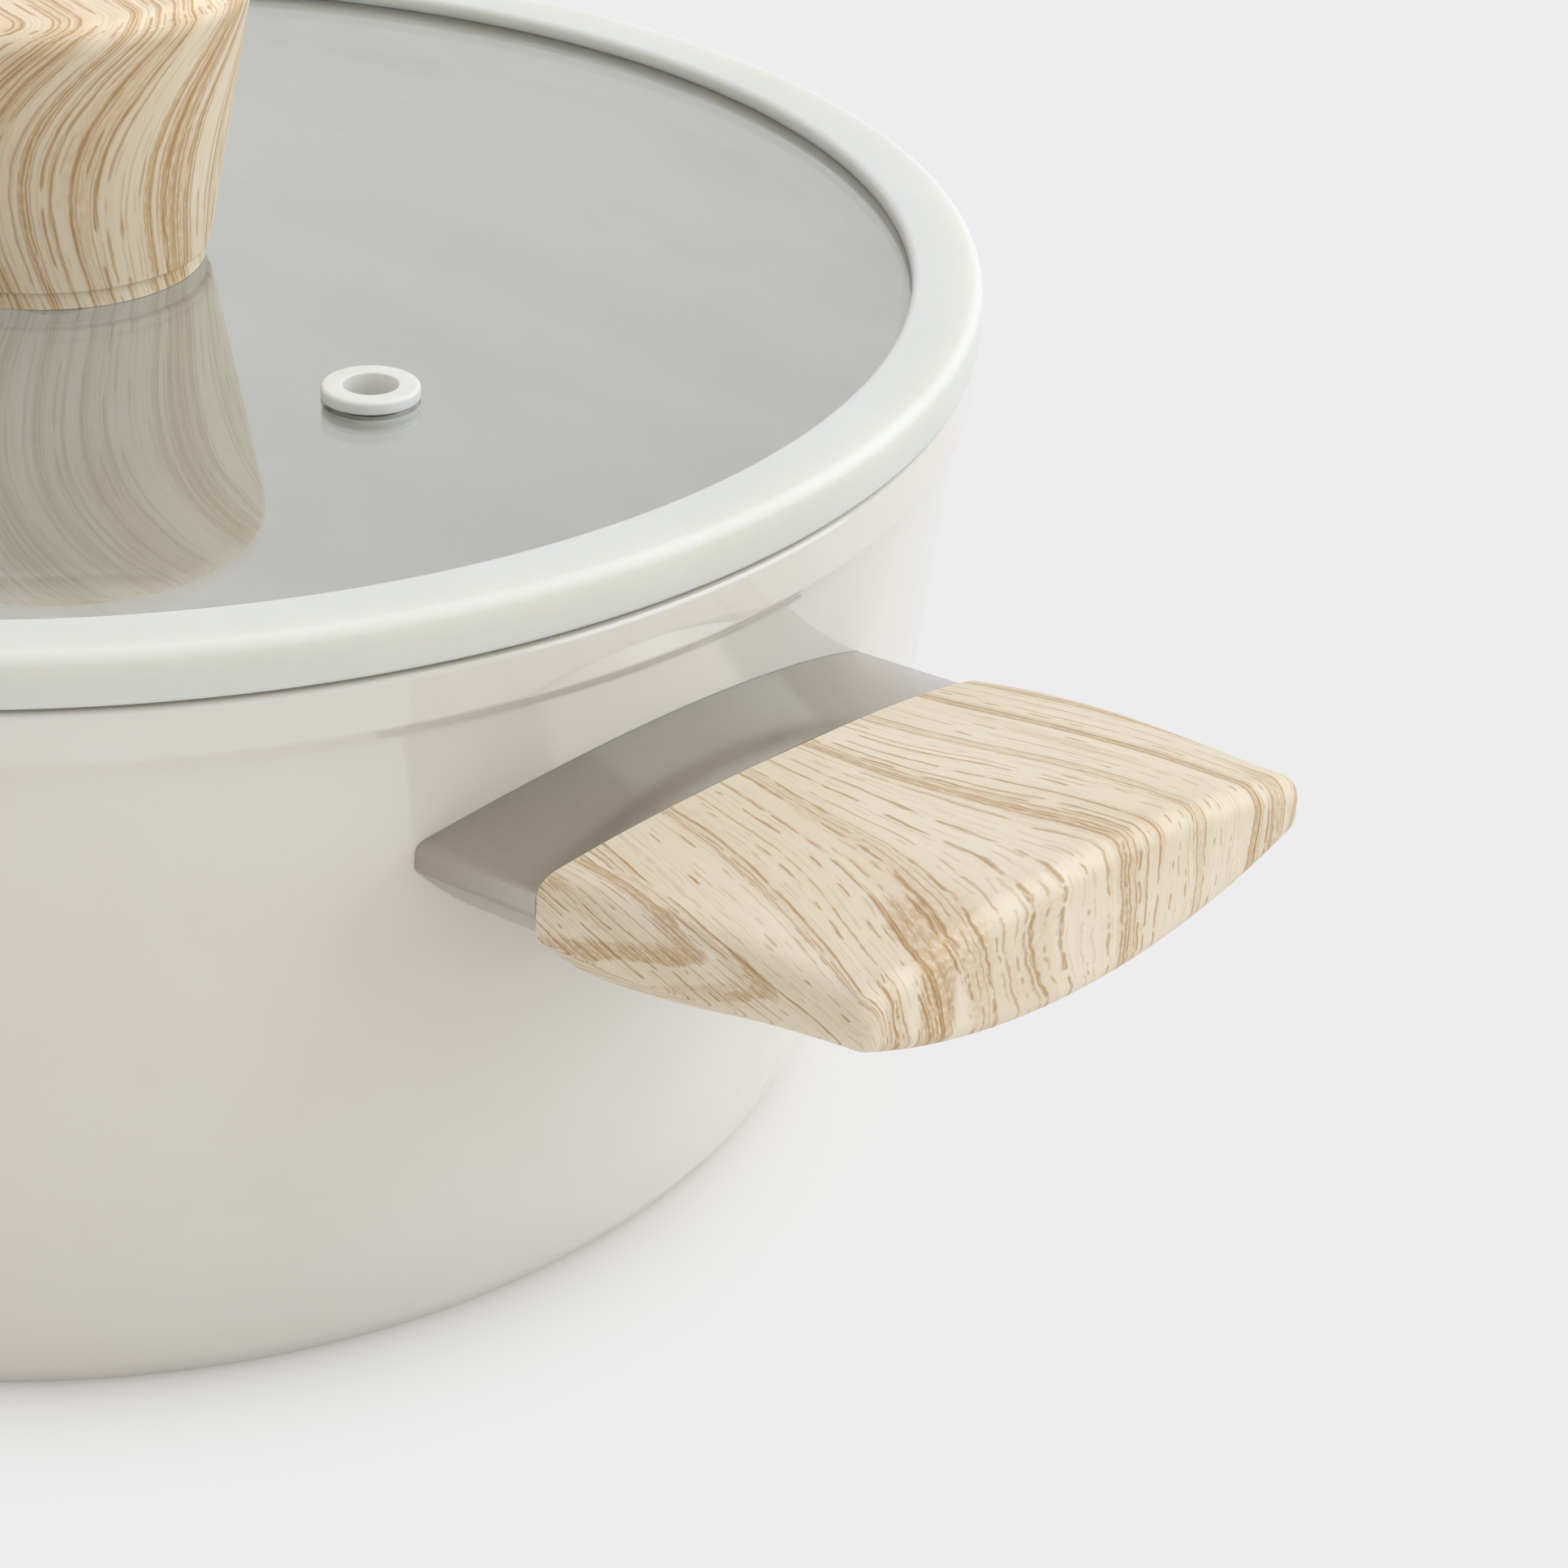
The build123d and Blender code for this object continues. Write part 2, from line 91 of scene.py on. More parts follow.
class Look:
    """One node material, wired by short calls. Lengths are metres in the object's own frame."""

    SOCKETS = {
        "colour": "Base Color", "rough": "Roughness", "normal": "Normal", "metal": "Metallic", "ior": "IOR",
        "see": "Transmission Weight", "gloss": "Specular IOR Level",
        "coat": "Coat Weight", "coat_rough": "Coat Roughness",
        "sub": "Subsurface Weight", "sub_scale": "Subsurface Scale", "sub_reach": "Subsurface Radius",
    }

    def __init__(self, name):
        self.mat = bpy.data.materials.new(name)
        self.mat.use_nodes = True
        self.tree = self.mat.node_tree
        self.shader = self.tree.nodes["Principled BSDF"]
        self.out = self.tree.nodes["Material Output"]
        self.here = self.put("ShaderNodeTexCoord").outputs["Object"]

    def put(self, kind, sockets=None, **props):
        node = self.tree.nodes.new(kind)
        for key, value in props.items():
            setattr(node, key, value)
        for key, value in (sockets or {}).items():
            self.feed(node.inputs[key], value)
        return node

    def feed(self, socket, value):
        if isinstance(value, bpy.types.NodeSocket):
            self.tree.links.new(value, socket)
        else:
            socket.default_value = value

    def sum(self, kind, a, b=0.0, c=0.0):
        return self.put("ShaderNodeMath", {0: a, 1: b, 2: c}, operation=kind).outputs[0]

    def plus(self, a, b):
        return self.sum("ADD", a, b)

    def minus(self, a, b):
        return self.sum("SUBTRACT", a, b)

    def times(self, a, b):
        return self.sum("MULTIPLY", a, b)

    def over(self, a, b):
        return self.sum("DIVIDE", a, b)

    def larger(self, a, b):
        return self.sum("MAXIMUM", a, b)

    def scaled(self, vector, factors):
        node = self.put("ShaderNodeVectorMath", {0: vector, 1: factors}, operation="MULTIPLY")
        return node.outputs[0]

    def length(self, vector):
        return self.put("ShaderNodeVectorMath", {0: vector}, operation="LENGTH").outputs["Value"]

    def split(self, vector):
        return self.put("ShaderNodeSeparateXYZ", {0: vector}).outputs

    def join(self, x, y, z):
        return self.put("ShaderNodeCombineXYZ", {0: x, 1: y, 2: z}).outputs[0]

    def noise(self, vector, scale, detail=2.0, rough=0.5):
        sockets = {"Vector": vector, "Scale": scale, "Detail": detail, "Roughness": rough}
        return self.put("ShaderNodeTexNoise", sockets).outputs["Fac"]

    def chance(self, number):
        """A random colour and value for each whole number."""
        return self.put("ShaderNodeTexWhiteNoise", {"W": number}, noise_dimensions="1D").outputs

    def span(self, value, low, high, to_low, to_high, curve="LINEAR"):
        """The range from low to high mapped to another, and held at its ends beyond."""
        sockets = {"Value": value, "From Min": low, "From Max": high, "To Min": to_low, "To Max": to_high}
        return self.put("ShaderNodeMapRange", sockets, interpolation_type=curve).outputs["Result"]

    def ease(self, value, low, high, to_low=0.0, to_high=1.0):
        """The same, with soft ends."""
        return self.span(value, low, high, to_low, to_high, "SMOOTHSTEP")

    def window(self, value, low, low_full, high_full, high):
        """1 between the two middle values, easing to 0 at the outer ones."""
        return self.times(self.ease(value, low, low_full), self.ease(value, high, high_full))

    def blend(self, factor, a, b):
        node = self.put("ShaderNodeMix", data_type="RGBA", blend_type="MIX")
        for socket, value in ((node.inputs["Factor"], factor), (node.inputs[6], a), (node.inputs[7], b)):
            self.feed(socket, value)
        return node.outputs[2]

    def bump(self, height, strength, distance):
        sockets = {"Height": height, "Strength": strength, "Distance": distance}
        return self.put("ShaderNodeBump", sockets).outputs["Normal"]

    def finish(self, **sockets):
        for key, value in sockets.items():
            self.feed(self.shader.inputs[self.SOCKETS[key]], value)
        return self.mat

    def show(self, shader):
        self.tree.links.new(shader.outputs[0], self.out.inputs["Surface"])
        return self.mat


# Enamel: tones outside and inside, the inside painted lighter as light under the lid, specks, gloss and
# orange peel
CREAM = (srgb(223, 218, 210), srgb(227, 223, 216))
# The inside's tones are painted lighter than the outside, standing in for light that reaches it under the
# glass
CREAM_INSIDE_PAINTED_LIGHT = (srgb(236, 236, 231), srgb(239, 239, 235))
CREAM_CLOUD = 26
CREAM_SPECK = srgb(208, 201, 190)
CREAM_SPECK_SCALE = 900
CREAM_SPECK_SHOWN = (0.62, 0.78, 0.0, 0.10)
CREAM_ROUGH_SCALE = 60
CREAM_ROUGH = (0.02, 0.055)
CREAM_PEEL_SCALE = 210
CREAM_PEEL = (0.03, 0.0004)
CREAM_IOR = 1.65
CREAM_COAT = 0.6
CREAM_COAT_ROUGH = 0.03
# What counts as the inside: radius times outward normal, upward normal, and depth below the rim
INSIDE_WALL = (0.0, -0.02)
INSIDE_UP = (0.3, 0.6)
INSIDE_DEPTH = (0.004, 0.012)


def inside_of_pot(k):
    """1 on the inner wall and floor of the round vessel, 0 on its outside and rim."""
    x, y, z = k.split(k.here)
    nx, ny, nz = k.split(k.put("ShaderNodeNewGeometry").outputs["Normal"])
    outward = k.plus(k.times(x, nx), k.times(y, ny))
    wall = k.ease(outward, *INSIDE_WALL)
    shallow, deep = INSIDE_DEPTH
    floor_up = k.times(k.ease(nz, *INSIDE_UP), k.ease(z, RIM_Z - shallow, RIM_Z - deep))
    return k.larger(wall, floor_up)


def enamel():
    """Fired cream ceramic on cast aluminium: deep even gloss, a little orange peel, faint cloudiness."""
    k = Look("cream_enamel")
    cloud = k.ease(k.noise(k.here, CREAM_CLOUD, 3), *MID)
    # The inside is painted lighter than the outside, standing in for light under the lid
    tone = k.blend(inside_of_pot(k), k.blend(cloud, *CREAM), k.blend(cloud, *CREAM_INSIDE_PAINTED_LIGHT))
    specks = k.ease(k.noise(k.here, CREAM_SPECK_SCALE, 2), *CREAM_SPECK_SHOWN)
    tone = k.blend(specks, tone, CREAM_SPECK)
    rough = k.span(k.noise(k.here, CREAM_ROUGH_SCALE, 3), *MID, *CREAM_ROUGH)
    peel = k.bump(k.noise(k.here, CREAM_PEEL_SCALE, 1.5), *CREAM_PEEL)
    return k.finish(colour=tone, rough=rough, normal=peel, ior=CREAM_IOR, coat=CREAM_COAT,
                    coat_rough=CREAM_COAT_ROUGH)


# Silicone: light and dark tone of each piece, dust, painted shade under the vent's flange, satin skin and
# milky depth
RIM_SOFT = (srgb(226, 227, 222), srgb(222, 223, 217))
VENT_SOFT = (srgb(234, 233, 228), srgb(229, 228, 222))
# The gaskets' tones are painted lighter, to cancel the shade they lie in under the knob
GASKET_SOFT_PAINTED_LIGHT = (srgb(240, 240, 236), srgb(234, 234, 229))
SOFT_CLOUD = 40
SMALL_PIECE = 3.0
SOFT_DUST = srgb(238, 238, 234)
SOFT_DUST_SCALE = 1500
SOFT_DUST_SHOWN = (0.60, 0.75, 0.0, 0.18)
# Colour of the painted shade in a groove under a flange
SOFT_PAINTED_SHADE = srgb(92, 90, 80)
SOFT_SHADE_FADE = 0.0001
SOFT_SHADE_START = 0.0002
SOFT_ROUGH_SCALE = 140
SOFT_ROUGH = (0.42, 0.54)
SOFT_SKIN_SCALE = 2200
SOFT_SKIN = (0.10, 0.00012)
SOFT_IOR = 1.42
SOFT_GLOW = 0.9
VENT_GLOW = 0.2
SOFT_DEPTH = 0.0045
SOFT_REACH = (1.0, 0.85, 0.65)


def silicone(name, tones, scale=1.0, glow=SOFT_GLOW, crease=None):
    """Moulded silicone: satin, finely dusty, very slightly mottled, and milky by glow. scale makes the
    mottling finer. crease is a groove painted dark as the shade under a flange: the x of its axis, its radius
    inside and its two heights."""
    k = Look(name)
    light, dark = tones
    tone = k.blend(k.ease(k.noise(k.here, SOFT_CLOUD * scale, 3), *MID), dark, light)
    dust = k.ease(k.noise(k.here, SOFT_DUST_SCALE, 2), *SOFT_DUST_SHOWN)
    tone = k.blend(dust, tone, SOFT_DUST)
    # Painted shade: the silicone is darkened in the groove under the vent's flange, where shade falls
    if crease:
        axis_x, inside, low, high = crease
        x, y, z = k.split(k.here)
        out = k.length(k.join(k.minus(x, axis_x), y, 0.0))
        painted_shade = k.window(z, low, low + SOFT_SHADE_FADE, high - SOFT_SHADE_FADE, high)
        painted_shade = k.times(painted_shade, k.ease(out, inside, inside + SOFT_SHADE_START))
        tone = k.blend(painted_shade, tone, SOFT_PAINTED_SHADE)
    rough = k.span(k.noise(k.here, SOFT_ROUGH_SCALE, 2), *MID, *SOFT_ROUGH)
    skin = k.bump(k.noise(k.here, SOFT_SKIN_SCALE, 2), *SOFT_SKIN)
    return k.finish(colour=tone, rough=rough, normal=skin, ior=SOFT_IOR, sub=glow, sub_scale=SOFT_DEPTH,
                    sub_reach=SOFT_REACH)


# Glass: tint, wipe marks in its gloss, faint waves
GLASS_TINT = (srgb(250, 251, 248), srgb(253, 253, 251))
GLASS_SHADOW = srgb(252, 254, 251)
GLASS_WIPE = (1.0, 3.0, 1.0)
GLASS_WIPE_SCALE = 26
GLASS_WIPE_SHOWN = (0.35, 0.75)
GLASS_ROUGH = (0.0, 0.012)
GLASS_WAVE_SCALE = 18
GLASS_WAVE = (0.012, 0.0004)
GLASS_IOR = 1.62
GLASS_COAT_ROUGH = 0.01


def glass():
    """Clear tempered glass, a trace of green, with faint wipe marks in its gloss. Light reaches what is
    below."""
    k = Look("lid_clear_glass")
    wipe = k.noise(k.scaled(k.here, GLASS_WIPE), GLASS_WIPE_SCALE, 3)
    tone = k.blend(k.ease(wipe, *MID), *GLASS_TINT)
    rough = k.span(wipe, *GLASS_WIPE_SHOWN, *GLASS_ROUGH)
    wave = k.bump(k.noise(k.here, GLASS_WAVE_SCALE, 1), *GLASS_WAVE)
    k.finish(colour=tone, rough=rough, normal=wave, ior=GLASS_IOR, see=1.0, coat=1.0,
             coat_rough=GLASS_COAT_ROUGH)
    shadow = k.put("ShaderNodeLightPath").outputs["Is Shadow Ray"]
    clear = k.put("ShaderNodeBsdfTransparent", {"Color": GLASS_SHADOW})
    return k.show(k.put("ShaderNodeMixShader", {0: shadow, 1: k.shader.outputs[0], 2: clear.outputs[0]}))


# Metals: light and dark tone, and the least and most roughness
BASE_STEEL = (srgb(196, 196, 194), srgb(172, 172, 170), (0.26, 0.36))
GUARD_STEEL = (srgb(187, 180, 172), srgb(184, 177, 168), (0.13, 0.17))
SCREW_STEEL = (srgb(200, 200, 198), srgb(170, 170, 168), (0.24, 0.36))
INSERT_BRASS = (srgb(214, 180, 110), srgb(190, 152, 86), (0.24, 0.34))
# How fine the lines are along each axis
TURNED = (2600, 60, 400)
DRAWN = (2400, 40, 2400)
EVEN = (900, 900, 900)
METAL_LINE_ROUGH = 0.6
METAL_TURN_R = 0.02
METAL_CLOUD_SCALE = 45
METAL_CLOUD = (-0.03, 0.03)
METAL_BITE = 0.10
GUARD_BITE = 0.010
METAL_BITE_DEPTH = 0.00004


def satin_metal(name, metal, lay, bite=METAL_BITE, turned=False):
    """Satin metal with fine lines. lay stretches them along the axis with the small number, or, on a turned
    face, round the middle. bite is how much they show."""
    k = Look(name)
    light, dark, rough_range = metal
    where = k.here
    if turned:
        x, y, z = k.split(k.here)
        round_way = k.times(k.sum("ARCTAN2", y, x), METAL_TURN_R)
        where = k.join(k.length(k.join(x, y, 0.0)), round_way, z)
    lines = k.noise(k.scaled(where, lay), 1.0, 3, METAL_LINE_ROUGH)
    cloud = k.noise(k.here, METAL_CLOUD_SCALE, 3)
    tone = k.blend(k.ease(lines, *MID), dark, light)
    rough = k.plus(k.span(lines, *MID, *rough_range), k.span(cloud, *MID, *METAL_CLOUD))
    marks = k.bump(lines, bite, METAL_BITE_DEPTH)
    return k.finish(colour=tone, rough=rough, normal=marks, metal=1.0)


# Film colours: pale and warm ground, fibre, line, dark line
GRIP_FILM = (srgb(234, 222, 204), srgb(229, 214, 191), srgb(220, 203, 173),
             srgb(196, 159, 108), srgb(168, 127, 71))
KNOB_FILM = (srgb(248, 232, 209), srgb(242, 222, 192), srgb(231, 207, 170),
             srgb(207, 163, 101), srgb(178, 128, 62))

# A film line: how far it strays in its row, the noise's step from row to row, how much more of it is left in
# a band and by chance, where it breaks, its half width and its weight
STROKE_STRAY = 0.3
STROKE_ROW = 7.31
STROKE_IN_BAND = 0.22
STROKE_CHANCE = 0.12
STROKE_BREAK = (0.97, 1.09)
STROKE_HALF = (0.45, 0.85)
STROKE_WEIGHT = (0.5, 1.0)


def strokes(k, ring, along, band, line, snap, thick, soft, keep):
    """Fine broken lines, a line apart, each with its own place, weight and breaks. keep is how much is left,
    and soft, from 0 to 1, blurs their edges."""
    cell = k.over(ring, line)
    number = k.sum("FLOOR", cell)
    place, weight, fill = k.split(k.chance(number)["Color"])
    stray = k.span(place, 0, 1, -STROKE_STRAY, STROKE_STRAY)
    off = k.plus(k.minus(k.sum("FRACT", cell), 0.5), stray)
    away = k.times(k.sum("ABSOLUTE", off), line)
    gaps = k.noise(k.join(k.times(number, STROKE_ROW), k.over(along, snap), 0.0), 1.0, 1)
    more = k.sum("MULTIPLY_ADD", band, STROKE_IN_BAND, k.span(fill, 0, 1, -STROKE_CHANCE, STROKE_CHANCE))
    whole = k.ease(k.plus(k.plus(gaps, keep), more), *STROKE_BREAK)
    thin, full = STROKE_HALF
    half = k.times(k.span(weight, 0, 1, thin * thick, full * thick), whole)
    stroke = k.ease(away, half, k.times(half, 1 - soft))
    return k.times(stroke, k.times(whole, k.span(weight, 0, 1, *STROKE_WEIGHT)))


# The film's noises: how fine across, along and in depth. The first three bend its lines, this far either way
WANDER = (30, 14, 30)
RIPPLE = (110, 40, 110)
SHAKE = (900, 240, 900)
WANDER_BY = 0.0030
RIPPLE_BY = 0.0007
SHAKE_BY = 0.00016
MORE_BANDS = (170, 18, 60)
FIBRES = (3200, 70, 900)
GRAIN = (2600, 700, 900)
PATCHES = (90, 30, 90)
STRANDS = (5200, 260, 900)
# Bands: share of a period in which one rises, and by which it has faded, its weight, and where more are added
BAND_RISE = 0.08
BAND_FADE = 0.40
BAND_WEIGHT = (0.45, 1.0)
MORE_BANDS_FROM = (0.48, 0.66)
# Small lines between the main ones: shift along, and spacing, breaks and width beside theirs
SMALL_SHIFT = 0.37
SMALL_LINE = 0.43
SMALL_SNAP = 0.8
SMALL_THICK = 0.6
# How each shows: two values of what drives it, and its strength at them
SMALL_SHOWN = (0.1, 0.6, 0.35, 0.9)
STRAND_SHOWN = (0.32, 0.52, 0.50, 1.0)
HAZE_BAND = (0.05, 0.95)
HAZE_SHOWN = (0.30, 0.62, 0.26, 0.66)
FIBRE_FROM = (0.35, 0.7)
FIBRE_SHOWN = 0.30
LINE_DEEP = (0.1, 0.8, 0.65, 1.0)
LINE_SHOWN = 0.95
FILM_ROUGH = (0.40, 0.48)
LINE_ROUGH = 0.10
FIBRE_RELIEF = 0.25
FILM_RELIEF = (0.15, 0.0001)
FILM_IOR = 1.48


def wood(k, across, lay, along, depth, film, period, line, reach, snap, thick, soft, keep, dense, mark):
    """Wood-effect film: soft grainy bands, a period apart, and fine broken lines, thickest in the bands.
    across is the length over the skin that the bands follow, lay the one that the lines follow and along the
    way they run. reach stretches the pattern, dense adds bands between the others, mark is one more band."""
    def fine(where, scales, detail, stretch=1.0):
        by_across, by_along, by_depth = scales
        return k.noise(k.scaled(where, (by_across, by_along / stretch, by_depth)), 1.0, detail)

    pale, warm, fibre, tan, deep = film
    skin = k.join(lay, along, depth)
    drift = k.plus(k.span(fine(skin, WANDER, 1, reach), *WIDE, -WANDER_BY, WANDER_BY),
                   k.span(fine(skin, RIPPLE, 1, reach), *WIDE, -RIPPLE_BY, RIPPLE_BY))
    drift = k.plus(drift, k.span(fine(skin, SHAKE, 2), *WIDE, -SHAKE_BY, SHAKE_BY))
    ring = k.plus(lay, drift)
    flow = k.join(ring, along, depth)

    phase = k.over(k.plus(across, drift), period)
    edge = k.sum("FRACT", phase)
    weight = k.chance(k.sum("FLOOR", phase))["Value"]
    band = k.times(k.ease(edge, BAND_RISE, BAND_FADE, 1.0, 0.0), k.ease(edge, 0.0, BAND_RISE))
    band = k.times(band, k.span(weight, 0, 1, *BAND_WEIGHT))
    more = k.times(k.ease(fine(flow, MORE_BANDS, 1, reach), *MORE_BANDS_FROM), dense)
    band = k.larger(k.larger(band, more), mark)

    main = strokes(k, ring, along, band, line, snap, thick, soft, keep)
    small = strokes(k, ring, k.plus(along, SMALL_SHIFT), band, SMALL_LINE * line, SMALL_SNAP * snap,
                    SMALL_THICK * thick, soft, keep)
    dash = k.larger(main, k.times(small, k.ease(band, *SMALL_SHOWN)))
    dash = k.times(dash, k.ease(fine(flow, STRANDS, 2, reach), *STRAND_SHOWN))

    fibres = fine(flow, FIBRES, 2, reach)
    patches = fine(flow, PATCHES, 2, reach)
    haze = k.times(k.ease(band, *HAZE_BAND), k.ease(fine(skin, GRAIN, 1), *HAZE_SHOWN))
    tone = k.blend(k.ease(patches, *MID), warm, pale)
    tone = k.blend(k.times(k.ease(fibres, *FIBRE_FROM), FIBRE_SHOWN), tone, fibre)
    tone = k.blend(haze, tone, tan)
    tone = k.blend(k.times(dash, LINE_SHOWN), tone, k.blend(k.ease(band, *LINE_DEEP), tan, deep))
    rough = k.plus(k.span(patches, *MID, *FILM_ROUGH), k.times(dash, LINE_ROUGH))
    relief = k.bump(k.minus(k.times(fibres, FIBRE_RELIEF), dash), *FILM_RELIEF)
    return k.finish(colour=tone, rough=rough, normal=relief, ior=FILM_IOR)


# Grip: its shape as far as the film follows it
GRIP_ROOT_X = 0.133
GRIP_END_X = (0.166, 0.174)
GRIP_SIDE_Y = (0.0305, 0.0350)
GRIP_TOP_Z = RIM_Z - 0.0134
# How the film lies: weight of height in the way along it, its fan to one side and its bend to the other
GRIP_DOWN = 1.9
GRIP_FAN = 0.36
GRIP_FAN_Y = (0.012, -0.034)
GRIP_BEND = 0.0050
GRIP_BEND_X = (0.136, 0.174)
GRIP_BEND_Y = (-0.03, 0.02)
GRIP_WOBBLE_SCALE = 260
GRIP_WOBBLE = 0.0006
# Its bands and lines, and how much is left and added on the top and at the end
GRIP_RING = 0.0098
GRIP_LINE = 0.0014
GRIP_REACH = 1.0
GRIP_SNAP = 0.0045
GRIP_THICK = 0.00030
GRIP_SOFT = 0.75
GRIP_DEPTH = 0.5
GRIP_KEEP = (0.53, 0.51)
GRIP_DENSE = (0.35, 0.60)
# Its marked bands, a swirl and a hook on the flank and one at the toe: across the film, and where they start
SWIRL_MIDDLE = -0.0392
SWIRL_ROUND = 0.0012
SWIRL_BAND = (-0.0340, -0.0313, -0.0309, -0.0301)
SWIRL_FROM = (-0.0280, -0.0310)
HOOK_BAND = (-0.0286, -0.0277, -0.0275, -0.0267)
HOOK_FROM = (-0.0355, -0.0365)
HOOK_FROM_X = (0.1545, 0.1575)
TOE_BAND = (-0.0138, -0.0124, -0.0104, -0.0092)
TOE_FROM_X = (0.160, 0.171)


def grip_wood(name, turn):
    """The film runs out along the grip's top, fanning to one side, over its rounded end and down. It folds
    over the flanks, and turns back on one of them. turn is 1 or -1, the side the grip points."""
    k = Look(name)
    x, y, z = k.split(k.scaled(k.here, (turn, turn, 1)))
    along = k.minus(x, k.times(z, GRIP_DOWN))
    fold = k.ease(k.sum("ABSOLUTE", y), *GRIP_SIDE_Y)
    drop = k.times(fold, k.minus(GRIP_TOP_Z, z))
    over = k.sum("MULTIPLY_ADD", drop, k.sum("SIGN", y), y)
    out = k.minus(k.sum("MINIMUM", x, GRIP_END_X[1]), GRIP_ROOT_X)
    fan = k.times(out, k.ease(y, *GRIP_FAN_Y, 0.0, GRIP_FAN))
    bend = k.times(k.ease(x, *GRIP_BEND_X), k.ease(y, *GRIP_BEND_Y, 0.0, GRIP_BEND))
    lay = k.minus(k.plus(over, fan), bend)

    short_way = k.minus(over, SWIRL_MIDDLE)
    folded = k.sum("SQRT", k.sum("MULTIPLY_ADD", short_way, short_way, SWIRL_ROUND ** 2))
    across = k.minus(k.plus(k.plus(folded, SWIRL_MIDDLE), fan), bend)
    wobble = k.noise(k.join(x, over, 0.0), GRIP_WOBBLE_SCALE, 2)
    wobbly = k.plus(across, k.span(wobble, *WIDE, -GRIP_WOBBLE, GRIP_WOBBLE))
    swirl = k.times(k.window(wobbly, *SWIRL_BAND), k.ease(over, *SWIRL_FROM))
    hook = k.times(k.window(wobbly, *HOOK_BAND), k.ease(x, *HOOK_FROM_X))
    hook = k.times(hook, k.ease(over, *HOOK_FROM))
    toe = k.times(k.window(wobbly, *TOE_BAND), k.ease(x, *TOE_FROM_X))
    mark = k.larger(k.larger(swirl, hook), toe)

    keep = k.ease(x, *GRIP_END_X, *GRIP_KEEP)
    dense = k.ease(x, *GRIP_END_X, *GRIP_DENSE)
    return wood(k, across, lay, along, GRIP_DEPTH * turn, GRIP_FILM, period=GRIP_RING, line=GRIP_LINE,
                reach=GRIP_REACH, snap=GRIP_SNAP, thick=GRIP_THICK, soft=GRIP_SOFT,
                keep=keep, dense=dense, mark=mark)


# Knob: its shape as far as the film follows it, and the film's seam
KNOB_R = 0.022
KNOB_Z = RIM_Z + 0.0049
KNOB_TOP_Z = RIM_Z + 0.0429
KNOB_TOP_EDGE = (0.0022, 0.0003)
KNOB_SEAM = math.radians(144)
# How the film leans as it rises, and back again towards the top
KNOB_LEAN = 0.74
KNOB_LEAN_BACK = 1.14
KNOB_LEAN_POWER = 2.6
# Its bands and lines, and its marked band
KNOB_RING = 0.0072
KNOB_LINE = 0.0019
KNOB_REACH = 1.6
KNOB_SNAP = 0.009
KNOB_THICK = 0.00056
KNOB_SOFT = 0.9
KNOB_DEPTH = 0.9
KNOB_KEEP = 0.56
KNOB_DENSE = 0.55
KNOB_BAND = (0.0170, 0.0186, 0.0214, 0.0236)
KNOB_BAND_SHOWN = 0.8


def knob_wood():
    """The same film round the knob, leaning over as it rises, and straight over its flat top. Its seam is at
    the back."""
    k = Look("knob_wood_film")
    x, y, z = k.split(k.here)
    share = k.span(z, KNOB_Z, KNOB_TOP_Z, 0.0, 1.0)
    lean_back = k.times(k.sum("POWER", share, KNOB_LEAN_POWER), KNOB_LEAN_BACK)
    lean = k.minus(k.times(share, KNOB_LEAN), lean_back)
    sockets = {"Vector": k.join(x, y, 0.0), "Angle": k.plus(lean, math.pi - KNOB_SEAM)}
    a, b, _ = k.split(k.put("ShaderNodeVectorRotate", sockets, rotation_type="Z_AXIS").outputs[0])
    round_way = k.times(k.sum("ARCTAN2", b, a), KNOB_R)
    below, under = KNOB_TOP_EDGE
    top = k.ease(z, KNOB_TOP_Z - below, KNOB_TOP_Z - under)
    across = k.plus(round_way, k.times(top, k.minus(b, round_way)))
    along = k.plus(z, k.times(top, a))
    mark = k.times(k.window(across, *KNOB_BAND), KNOB_BAND_SHOWN)
    return wood(k, across, across, along, KNOB_DEPTH, KNOB_FILM, period=KNOB_RING, line=KNOB_LINE,
                reach=KNOB_REACH, snap=KNOB_SNAP, thick=KNOB_THICK, soft=KNOB_SOFT,
                keep=KNOB_KEEP, dense=KNOB_DENSE, mark=mark)


# Round pieces, turned afresh from their sections so that their small roundings are smooth. Millimetres
FINE_TURN = 256
KNOB_TURN = 192
VENT_TURN = 96
ARC_STEPS = 6
ON_AXIS = 1e-6
SHARP = math.radians(32)


def rounded(corners, closed=True, lift=0.0):
    """The outline through corners (across, up, rounding), as points, raised by lift."""
    points = []
    count = len(corners)
    for i, (px, pz, size) in enumerate(corners):
        here = Vector((px, pz + lift))
        if size == 0 or (not closed and i in (0, count - 1)):
            points.append(here)
            continue
        back_x, back_z, _ = corners[i - 1]
        ahead_x, ahead_z, _ = corners[(i + 1) % count]
        back = Vector((back_x - px, back_z - pz)).normalized()
        ahead = Vector((ahead_x - px, ahead_z - pz)).normalized()
        half = back.angle(ahead) / 2
        middle = here + (back + ahead).normalized() * (size / math.sin(half))
        start = here + back * (size / math.tan(half)) - middle
        sweep = start.angle_signed(here + ahead * (size / math.tan(half)) - middle)
        for step in range(ARC_STEPS + 1):
            turn = -sweep * step / ARC_STEPS
            points.append(middle + Matrix.Rotation(turn, 2) @ start)
    return points


def arc_on(start, way, end, steps):
    """Points after start along the arc that leaves it in a direction and meets end, and the direction
    there."""
    start, end = Vector(start), Vector(end)
    side = Vector((-way.y, way.x))
    chord = end - start
    radius = chord.length_squared / (2 * side.dot(chord))
    middle = start + side * radius
    sweep = 2 * math.atan2(side.dot(chord), way.dot(chord))
    spoke = start - middle
    points = [middle + Matrix.Rotation(sweep * (i + 1) / steps, 2) @ spoke for i in range(steps)]
    return points, Matrix.Rotation(sweep, 2) @ way


